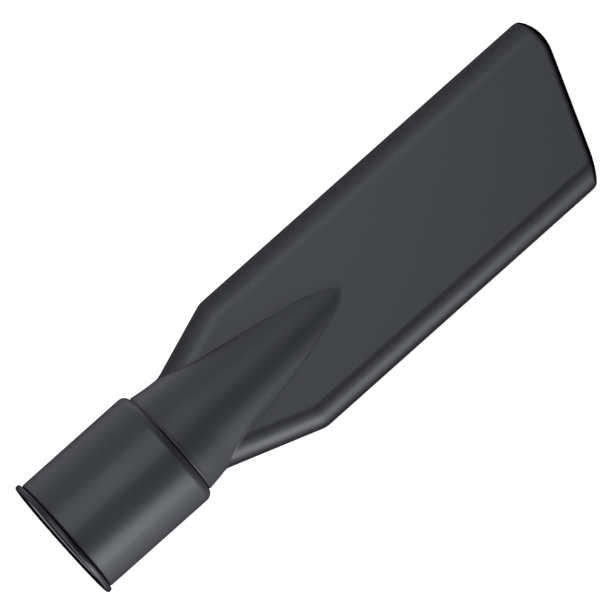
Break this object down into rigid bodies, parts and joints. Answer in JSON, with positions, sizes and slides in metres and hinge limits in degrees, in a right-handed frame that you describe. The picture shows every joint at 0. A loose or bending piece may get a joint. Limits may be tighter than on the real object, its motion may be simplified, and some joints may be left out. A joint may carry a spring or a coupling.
{
  "type": "vacuum crevice nozzle",
  "caption": "Flat crevice nozzle for a vacuum cleaner tube: a round swivelling socket cuff, a cone that flows onto a wide flat blade, and a slanted suction mouth.",
  "frame": {"origin": "on the swivel axis, in the plane where the socket's wall begins, just inside the rim ring", "axes": "+X runs along the swivel axis from the socket to the mouth, +Y across the blade towards the mouth's long side, +Z through the blade's thickness towards the front shell"},
  "size_m": [0.2078, 0.0529, 0.042],
  "materials": {
    "cuff_plastic": "satin, faintly grained",
    "rim_plastic": "satin",
    "seal_rubber": "matt",
    "washer_plastic": "smooth, waxy",
    "spring_steel": "bright spring steel",
    "nozzle_plastic": "satin, faintly grained"
  },
  "bodies": {
    "cuff": {"cuff": "cuff_plastic", "rim_ring": "rim_plastic", "socket_seal": "seal_rubber", "glide_washer": "washer_plastic"},
    "nozzle": {"front_shell": "nozzle_plastic", "back_shell": "nozzle_plastic", "snap_ring": "spring_steel", "neck_seal": "seal_rubber"}
  },
  "joints": [
    {"name": "nozzle_swivel", "type": "hinge", "parent": "cuff", "child": "nozzle", "pos_m": [0.0423, 0, 0], "axis": [1, 0, 0], "continuous": true}
  ]
}
